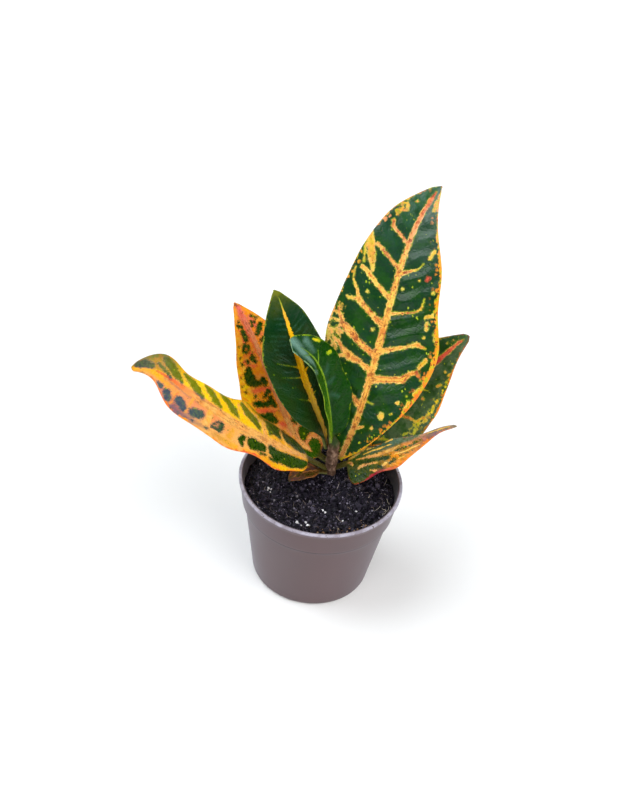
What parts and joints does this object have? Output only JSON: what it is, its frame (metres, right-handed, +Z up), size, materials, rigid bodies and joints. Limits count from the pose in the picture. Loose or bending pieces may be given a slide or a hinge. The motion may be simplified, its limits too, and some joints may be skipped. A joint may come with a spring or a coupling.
{
  "type": "potted croton",
  "caption": "Young croton plant with variegated leathery leaves on a short woody stem, rooted in soil in a round plastic nursery pot that stands on its flat base",
  "frame": {"origin": "the middle of the pot's flat base, on the surface that it stands on", "axes": "+Z up along the pot's axis, -Y the front as the picture sees it, +X to the right"},
  "size_m": [0.1157, 0.096, 0.1335],
  "materials": {
    "pot_plastic": "satin",
    "soil": "matte",
    "bark": "matte",
    "leaf_dark_green": "satin",
    "leaf_grey_green": "satin",
    "leaf_mottled": "satin",
    "leaf_orange": "satin",
    "leaf_yellow": "satin",
    "leaf_young_green": "satin"
  },
  "bodies": {
    "root": {"pot": "pot_plastic", "soil": "soil", "stem": "bark", "leaf_tall": "leaf_dark_green", "leaf_right": "leaf_grey_green", "leaf_low_right": "leaf_mottled", "leaf_centre": "leaf_dark_green", "leaf_back_left": "leaf_orange", "leaf_low_left": "leaf_yellow", "leaf_young": "leaf_young_green", "leaf_small": "leaf_mottled"}
  },
  "joints": []
}
